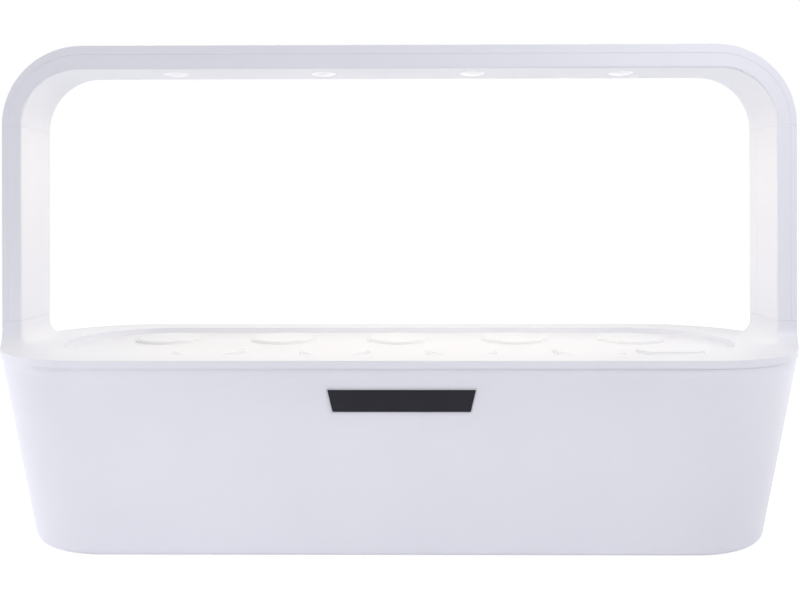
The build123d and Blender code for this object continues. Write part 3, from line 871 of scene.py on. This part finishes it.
@dataclass
class Tank:
    """The water tank with its rubber pads and the bare plate on its front."""

    plate_centre_x: float = 3.0 * MM
    plate_centre_z: float = 115.9 * MM
    plate_top_width: float = 102.8 * MM
    plate_bottom_width: float = 95.4 * MM
    plate_height: float = 16.1 * MM
    plate_thickness: float = 0.9 * MM
    corner_radius: float = 1.2 * MM
    corner_segments: int = 6
    border: float = 0.75 * MM
    border_stand: float = 0.25 * MM
    ray_start: float = 0.2

    def build(self) -> None:
        """Dress the tank and set the plate on it."""
        dress(WHITE, "basin")
        dress(RUBBER, "basin_feet")
        place, slope = self.front_place()
        plate = self.make_slab("plate")
        self.lay(plate, place, slope)
        hand_over(plate, "tank", PLATE)
        rim = self.make_rim()
        self.lay(rim, place, slope)
        hand_over(rim, "tank", PLATE_EDGE)

    def front_place(self) -> tuple[Vector, float]:
        """Find where the plate lies.

        Returns:
            The point on the tank's front under the plate's middle, and the wall's slope.
        """
        start = Vector((self.plate_centre_x, -self.ray_start, self.plate_centre_z))
        found, point, normal, _ = frame["nodes"]["basin"].ray_cast(start, Vector((0, 1, 0)))
        if not found:
            raise RuntimeError("the tank's front wasn't found")
        return point, math.atan2(-normal.z, -normal.y)

    def make_slab(self, name: str, border: float = 0.0, stand: float = 0.0) -> bpy.types.Object:
        """Make a flat trapezoid with rounded corners, upright in the XZ plane with its back at y = 0.

        Args:
            name: The piece's name.
            border: How far it reaches beyond the plate's edges.
            stand: How far it stands proud of the plate.

        Returns:
            The slab, in edit mode.
        """
        top = self.plate_top_width + 2 * border
        bottom = self.plate_bottom_width + 2 * border
        thickness = self.plate_thickness + stand
        slab = begin(name, bpy.ops.mesh.primitive_cube_add, size=1.0)
        bpy.ops.object.mode_set(mode="EDIT")
        bpy.ops.transform.resize(value=(top, thickness, self.plate_height + 2 * border))
        bpy.ops.transform.translate(value=(0, -thickness / 2, 0))
        pick(slab, Pick.FACES, lambda face: face.normal.z < -FACING)
        bpy.ops.transform.resize(value=(bottom / top, 1, 1), center_override=(0, 0, 0))
        pick(slab, Pick.EDGES, lambda edge: abs(edge.verts[0].co.y - edge.verts[1].co.y) > thickness / 2)
        bpy.ops.mesh.bevel(offset=self.corner_radius, segments=self.corner_segments)
        return slab

    def make_rim(self) -> bpy.types.Object:
        """Make the thin light rim round the plate.

        Returns:
            The rim, in edit mode.
        """
        rim = self.make_slab("plate_rim", self.border, self.border_stand)
        pick(rim, Pick.FACES, lambda face: abs(face.normal.y) > FACING)
        bpy.ops.mesh.inset(thickness=self.border, depth=0)
        bpy.ops.mesh.bridge_edge_loops()
        return rim

    def lay(self, piece: bpy.types.Object, place: Vector, slope: float) -> None:
        """Tilt a piece with the wall and move it there.

        Args:
            piece: A piece in edit mode, with its back at y = 0.
            place: Where its middle goes.
            slope: The wall's slope.
        """
        bpy.ops.object.mode_set(mode="OBJECT")
        piece.rotation_euler = (slope, 0, 0)
        piece.location = place
        settle(piece)


@dataclass
class Screws:
    """Small pan-head screws with a cross recess and a rolled thread.

    The head's profile has a share of its radius and a share of its height for each ring, and the
    recess gets narrower by its taper to the bottom.
    """

    sides: int = 24
    head_profile: tuple[Pair, ...] = ((0.55, 0.0), (0.86, 0.18), (1.0, 0.55), (1.0, 1.0))
    head_limit: float = 0.9
    recess_width: float = 0.75 * MM
    recess_length: float = 3.2 * MM
    recess_depth: float = 1.2 * MM
    recess_taper: Triple = (0.45, 0.6, 1.0)
    thread_pitch: float = 0.8 * MM
    thread_depth: float = 0.28 * MM
    tip_share: float = 1 / 3
    smooth_angle: float = 30.0

    def replace(self, node: str, name: str, body: str, head: Head) -> None:
        """Make detailed screws in the place of a node's plain ones.

        Args:
            node: The node that holds the plain screws.
            name: Name of the new piece.
            body: The body that it rides on.
            head: Which way the heads look.
        """
        made = [self.make_screw(f"{name}_{number}", shape, head)
                for number, shape in enumerate(separate_shapes(node), 1)]
        hand_over(join(made, name), body, ZINC, stands_for=[node],
                  smooth_angle=self.smooth_angle)

    def make_screw(self, name: str, points: list[Vector], head: Head) -> bpy.types.Object:
        """Make one screw that fits the plain one.

        Args:
            name: The screw's name.
            points: The plain screw's corners.
            head: Which way its head looks.

        Returns:
            The screw, with its place in its mesh.
        """
        low, high = corners(points)
        centre = middle((low, high))
        top = high.z if head is Head.UP else low.z
        head_radius = (high.x - low.x) / 2
        limit = head_radius * self.head_limit
        measured = measure(points, centre, top)
        head_height = max(depth for depth, radius in measured if radius > limit)
        shank = max(radius for depth, radius in measured if radius < limit)
        rings = [(head_radius * radius, head_height * depth) for radius, depth in self.head_profile]
        rings += self.thread_rings(shank, head_height, high.z - low.z)
        screw = lathe(name, self.sides, [(radius, -head.value * depth) for radius, depth in rings])
        self.cut_recess(screw, head)
        screw.location = (centre.x, centre.y, top)
        settle(screw)
        return screw

    def thread_rings(self, shank: float, start: float, length: float) -> list[Pair]:
        """Work out the shank's rings, from under the head to the tip.

        Args:
            shank: Radius of the shank.
            start: Depth at which it starts.
            length: Length of the whole screw.

        Returns:
            Radius and depth of each ring.
        """
        root = shank - self.thread_depth
        half = self.thread_pitch / 2
        rings = [(shank, start)]
        count = int((length - start - self.thread_pitch) / self.thread_pitch)
        for turn in range(count):
            depth = start + half + turn * self.thread_pitch
            rings.append((root, depth))
            rings.append((shank, depth + half))
        rings.append((root, length - half))
        rings.append((shank * self.tip_share, length))
        return rings

    def cut_recess(self, screw: bpy.types.Object, head: Head) -> None:
        """Cut the cross into a screw's head.

        Args:
            screw: The screw, with the top of its head at z = 0.
            head: Which way its head looks.
        """
        for turn in (0.0, math.pi / 2):
            bar = begin("recess_bar", bpy.ops.mesh.primitive_cube_add, size=1.0)
            bpy.ops.object.mode_set(mode="EDIT")
            bpy.ops.transform.resize(value=(self.recess_length, self.recess_width, 2 * self.recess_depth))
            pick(bar, Pick.FACES, lambda face: face.normal.z * head.value < -FACING)
            bpy.ops.transform.resize(value=self.recess_taper, center_override=(0, 0, 0))
            bpy.ops.object.mode_set(mode="OBJECT")
            bar.rotation_euler.z = turn
            settle(bar)
            cut(screw, bar)


@dataclass
class Lid:
    """The lid with the driver, the float and its guide."""

    def build(self) -> None:
        """Dress the lid's pieces and make the driver's screws."""
        inlet = middle(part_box("power_inlet"))
        dress(WHITE, "lid", "timer_button")
        dress(INNER, "driver_cover")
        dress(BOARD, "driver_board")
        dress(ZINC, "driver_screws")
        dress(InletPlastic("inlet_plastic", pin_x=inlet.x, pin_z=inlet.z), "power_inlet")
        dress(BLACK, "timer_switch", "foot_socket")
        dress(SHEATH, "lid_lead")
        dress(CUP, "float_guide")
        dress(COVER, "fill_cap")
        dress(FLOAT, "water_float")
        Screws().replace("driver_screws", "cross_screws_driver", "lid", Head.DOWN)


@dataclass
class Pods:
    """The nine cups with their covers and growing plugs."""

    count: int = 9
    sides: int = 48
    skin_cuts: int = 3
    seed_radius: float = 5.0 * MM
    seed_depth: float = 9.0 * MM
    seed_taper: float = 1 / 3
    crumble: float = 0.5 * MM
    crumble_size: float = 3.0 * MM
    crumble_layers: int = 3
    crumble_level: float = 0.7

    def build(self) -> None:
        """Dress the cups and make the plugs."""
        pattern = self.make_plug()
        for number in range(1, self.count + 1):
            dress(CUP, f"cup_{number}")
            dress(COVER, f"cup_cover_{number}")
            dress(PEAT, f"growing_plug_{number}")
            self.place_copy(pattern, number)
        bpy.data.objects.remove(pattern)

    def make_plug(self) -> bpy.types.Object:
        """Make a plug with a seed hole and a crumbled skin.

        Returns:
            The plug, at the first plug's place.
        """
        low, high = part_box("growing_plug_1")
        centre = middle((low, high))
        points = [vertex.co for vertex in frame["nodes"]["growing_plug_1"].data.vertices]
        foot = max(radius for height, radius in measure(points, centre, low.z) if height < self.crumble)
        top = (high.x - low.x) / 2 - self.crumble / 2
        plug = begin("plug_pattern", bpy.ops.mesh.primitive_cone_add, vertices=self.sides,
                     radius1=foot - self.crumble / 2, radius2=top, depth=high.z - low.z,
                     end_fill_type="NGON")
        bpy.ops.object.mode_set(mode="EDIT")
        pick(plug, Pick.FACES, lambda face: face.normal.z > FACING)
        for _ in range(2):
            bpy.ops.mesh.inset(thickness=(top - self.seed_radius) / 2, depth=0)
        bpy.ops.mesh.extrude_region_move(TRANSFORM_OT_translate={"value": (0, 0, -self.seed_depth)})
        bpy.ops.mesh.inset(thickness=self.seed_radius * self.seed_taper, depth=0)
        bpy.ops.mesh.select_all(action="SELECT")
        bpy.ops.mesh.subdivide(number_cuts=self.skin_cuts)
        bpy.ops.object.mode_set(mode="OBJECT")
        self.crumble_skin(plug)
        plug.location = centre
        settle(plug)
        return plug

    def crumble_skin(self, plug: bpy.types.Object) -> None:
        """Roughen a plug's skin with a fixed noise.

        Args:
            plug: The plug, alone selected.
        """
        cloud = bpy.data.textures.new("crumble", "CLOUDS")
        cloud.noise_scale = self.crumble_size
        cloud.noise_depth = self.crumble_layers
        displace = plug.modifiers.new("crumble", "DISPLACE")
        displace.texture = cloud
        displace.texture_coords = "LOCAL"
        displace.strength = self.crumble
        displace.mid_level = self.crumble_level
        bpy.ops.object.modifier_apply(modifier=displace.name)

    def place_copy(self, pattern: bpy.types.Object, number: int) -> None:
        """Put a copy of the plug in a cup, turned so that no two look alike.

        Args:
            pattern: The plug at the first plug's place.
            number: The cup's number.
        """
        home = middle(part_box("growing_plug_1"))
        there = middle(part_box(f"growing_plug_{number}"))
        copy = pattern.copy()
        copy.data = pattern.data.copy()
        copy.name = f"peat_plug_{number}"
        copy.data.name = copy.name
        bpy.context.collection.objects.link(copy)
        turn = Matrix.Rotation(math.tau * number / self.count, 4, "Z")
        copy.data.transform(Matrix.Translation(there) @ turn @ Matrix.Translation(-home))
        hand_over(copy, f"pod_{number}", PEAT, stands_for=[f"growing_plug_{number}"])


@dataclass
class Arms:
    """The two arms that carry the lamp."""

    def build(self) -> None:
        """Dress the arms' pieces."""
        dress(WHITE, "right_arm", "right_arm_back_cover", "right_arm_strip", "left_arm", "left_arm_strip")
        dress(BLACK, "arm_plug", "arm_socket")
        dress(SHEATH, "arm_lead")


@dataclass
class Lamp:
    """The lamp across the top.

    A lens has its flange and its neck where the plain one has them, and its dome has ridges round a
    smooth core.
    """

    lens_sides: int = 64
    flange_limit: float = 0.95
    neck_limit: float = 0.99
    edge_round: float = 0.3 * MM
    ridge_count: int = 8
    ridge_depth: float = 0.22 * MM
    crest_share: float = 0.55
    core_share: float = 0.22
    core_rings: Triple = (1.0, 0.66, 0.33)
    smooth_angle: float = 30.0

    def build(self) -> None:
        """Dress the lamp's pieces and make its lenses and screws."""
        dress(WHITE, "lamp_housing", "lamp_cover")
        dress(BLACK, "lamp_plug")
        dress(SHEATH, "lamp_lead")
        dress(BOARD, "light_board")
        dress(CHIPS, "light_chips")
        dress(ALUMINIUM, "heat_sink")
        dress(ZINC, "lamp_screws")
        dress(LENS, "light_lenses")
        Screws().replace("lamp_screws", "cross_screws_lamp", "lamp", Head.UP)
        made = [self.make_lens(f"ridged_lens_{number}", shape)
                for number, shape in enumerate(separate_shapes("light_lenses"), 1)]
        hand_over(join(made, "ridged_lenses"), "lamp", LENS, stands_for=["light_lenses"],
                  smooth_angle=self.smooth_angle)

    def make_lens(self, name: str, points: list[Vector]) -> bpy.types.Object:
        """Make a lens with ridges round its middle that fits the plain one.

        Args:
            name: The lens's name.
            points: The plain lens's corners.

        Returns:
            The lens, with its place in its mesh.
        """
        low, high = corners(points)
        centre = middle((low, high))
        measured = measure(points, centre, high.z)
        flange = max(radius for depth, radius in measured)
        flange_depth = max(depth for depth, radius in measured if radius > flange * self.flange_limit)
        neck = max(radius for depth, radius in measured if depth > flange_depth + self.edge_round)
        neck_depth = max(depth for depth, radius in measured if radius > neck * self.neck_limit)
        rings = [(neck, 0.0), (flange - self.edge_round, 0.0), (flange, self.edge_round),
                 (flange, flange_depth), (neck, flange_depth), (neck, neck_depth)]
        rings += self.dome_rings(neck - self.edge_round, high.z - low.z, neck_depth)
        lens = lathe(name, self.lens_sides, [(radius, -depth) for radius, depth in rings])
        lens.location = (centre.x, centre.y, high.z)
        settle(lens)
        return lens

    def dome_rings(self, radius: float, full: float, edge: float) -> list[Pair]:
        """Work out the rings of the ridged dome, from its rim to its middle.

        Args:
            radius: Radius of the dome's rim.
            full: Depth of the dome's middle.
            edge: Depth of its rim.

        Returns:
            Radius and depth of each ring.
        """
        core = radius * self.core_share
        step = (radius - core) / self.ridge_count
        rings = []
        for ridge in range(self.ridge_count):
            rings.append((radius - ridge * step, self.ridge_depth))
            rings.append((radius - (ridge + self.crest_share) * step, 0.0))
        rings += [(core * share, 0.0) for share in self.core_rings]
        return [(here, edge + (full - edge) * (1 - (here / radius) ** 2) - groove) for here, groove in rings]


@dataclass(frozen=True)
class SoftBox:
    """A soft area light, with its spread in degrees."""

    name: str
    place: Triple
    target: Triple
    size: Pair
    power: float
    colour: Triple = DAYLIGHT
    spread: float = 180.0

    def hang(self) -> bpy.types.Object:
        """Put the light into the scene.

        Returns:
            The light's object.
        """
        light = bpy.data.lights.new(self.name, "AREA")
        light.shape = "RECTANGLE"
        light.size, light.size_y = self.size
        light.energy = self.power
        light.spread = math.radians(self.spread)
        light.color = self.colour
        lamp = bpy.data.objects.new(self.name, light)
        bpy.context.scene.collection.objects.link(lamp)
        lamp.visible_camera = False
        lamp.location = self.place
        lamp.rotation_euler = (Vector(self.target) - Vector(self.place)).to_track_quat("-Z", "Y").to_euler()
        return lamp


BOXES = (
    SoftBox("front_top_box", (0, -0.5, 1.2), (0, 0, 0.14), size=(0.8, 0.5), power=1.3),
    SoftBox("back_top_box", (0, 0.45, 0.9), (0, 0, 0.14), size=(0.9, 0.4), power=1.5),
    SoftBox("right_box", (1.5, -1.2, 1.0), (0.1, 0, 0.3), size=(1.2, 1.2), power=7.5),
    SoftBox("left_box", (-1.6, -0.2, 0.5), (0, 0, 0.15), size=(1.0, 1.0), power=9.0),
    SoftBox("near_box", (0.45, -0.66, 0.62), (0.2, 0, 0.35), size=(0.3, 0.3), power=1.2),
    SoftBox("front_strip", (0, -0.40, 0.03), (0, -0.08, 0.03), size=(0.5, 0.03), power=0.010),
    SoftBox("low_strip", (0, -0.20, 0.012), (0, -0.07, 0.03), size=(0.46, 0.012), power=0.030),
    SoftBox("left_strip", (-0.32, -0.35, 0.04), (-0.25, 0, 0.04), size=(0.2, 0.05), power=0.11),
    SoftBox("back_floor_box", (0, 0.55, 0.5), (0, 0.55, 0), size=(1.2, 0.3), power=0.9, spread=60.0),
    SoftBox("right_floor_box", (0.75, 0, 0.5), (0.75, 0, 0), size=(0.3, 0.8), power=0.4, spread=60.0),
    SoftBox("right_rim_box", (1.2, 0.9, 0.35), (-0.29, 0, 0.2), size=(0.5, 0.4), power=2.1),
    SoftBox("left_rim_box", (-1.2, 0.9, 0.35), (0.29, 0, 0.2), size=(0.5, 0.4), power=1.5),
)


@dataclass
class Studio:
    """The floor, the soft light and the camera.

    The camera's frame, its focal length and its middle row are in pixels, and its turns in radians.
    """

    frame_width: int = 800
    frame_height: int = 600
    focal_pixels: float = 824.6
    centre_row: float = 210.8
    eye: Triple = (6.8 * MM, -657.2 * MM, 247.0 * MM)
    yaw: float = 0.00826
    pitch: float = 0.00036
    roll: float = 0.00152
    sensor_width: float = 36.0
    nearest: float = 20 * MM
    floor_size: float = 400.0
    floor_colour: Colour = rgb(0.80, 0.80, 0.81)
    floor_lift: Colour = grey(0.70)
    world_colour: Colour = rgb(*DAYLIGHT)
    world_level: float = 0.39
    lamp_gap: float = 1 * MM
    lamp_size: Pair = (14 * MM, 14 * MM)
    lamp_power: float = 0.063
    lamp_colour: Triple = (1.0, 0.87, 0.52)

    def build(self) -> None:
        """Make the camera, the floor, the world and the lights."""
        bpy.context.scene.view_settings.view_transform = "Standard"
        self.make_camera()
        self.make_floor()
        self.make_world()
        self.make_lights()

    def make_camera(self) -> None:
        """Make the camera that looks as the photograph does."""
        lens = bpy.data.cameras.new("camera")
        camera = bpy.data.objects.new("camera", lens)
        bpy.context.scene.collection.objects.link(camera)
        bpy.context.scene.camera = camera
        lens.sensor_width = self.sensor_width
        lens.lens = self.focal_pixels * self.sensor_width / self.frame_width
        lens.shift_y = -(self.frame_height / 2 - self.centre_row) / self.frame_width
        lens.clip_start = self.nearest
        camera.location = self.eye
        camera.rotation_euler = (math.pi / 2 - self.pitch, self.roll, self.yaw)

    def make_floor(self) -> None:
        """Make the pale floor, which shows lighter than it lights the object."""
        floor = begin("floor", bpy.ops.mesh.primitive_plane_add, size=self.floor_size)
        material = bpy.data.materials.new("floor")
        graph = Graph(material)
        lift = graph.blend(graph.seen(), grey(0), self.floor_lift)
        surface = graph.principled(Base_Color=self.floor_colour, Roughness=1.0, Specular_IOR_Level=0.0,
                                   Emission_Color=lift, Emission_Strength=1.0)
        graph.node("ShaderNodeOutputMaterial", {}, {"Surface": surface})
        floor.data.materials.append(material)

    def make_world(self) -> None:
        """Make the world: soft light on the object, white behind it."""
        world = bpy.data.worlds.new("studio")
        bpy.context.scene.world = world
        graph = Graph(world)
        sky = {"Color": self.world_colour, "Strength": self.world_level}
        soft = graph.node("ShaderNodeBackground", {}, sky)
        white = graph.node("ShaderNodeBackground", {}, {"Color": grey(1), "Strength": 1.0})
        mixed = graph.node("ShaderNodeMixShader", {}, {0: graph.seen(), 1: soft, 2: white})
        graph.node("ShaderNodeOutputWorld", {}, {"Surface": mixed})

    def make_lights(self) -> None:
        """Hang the soft boxes and the lamp's own lights."""
        for box in BOXES:
            box.hang()
        for number, points in enumerate(separate_shapes("light_lenses"), 1):
            low, high = corners(points)
            centre = middle((low, high))
            under = (centre.x, centre.y, low.z - self.lamp_gap)
            light = SoftBox(f"lamp_light_{number}", under, (centre.x, centre.y, 0), size=self.lamp_size,
                            power=self.lamp_power, colour=self.lamp_colour)
            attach(light.hang(), "lamp")


def main() -> None:
    """Build the sub-assemblies in order and the studio round them."""
    logging.basicConfig(level=logging.INFO, format="%(message)s")
    for assembly in (Tank(), Lid(), Pods(), Arms(), Lamp(), Studio()):
        assembly.build()
        log.info("%s is done", type(assembly).__name__)


if __name__ == "__main__":
    main()
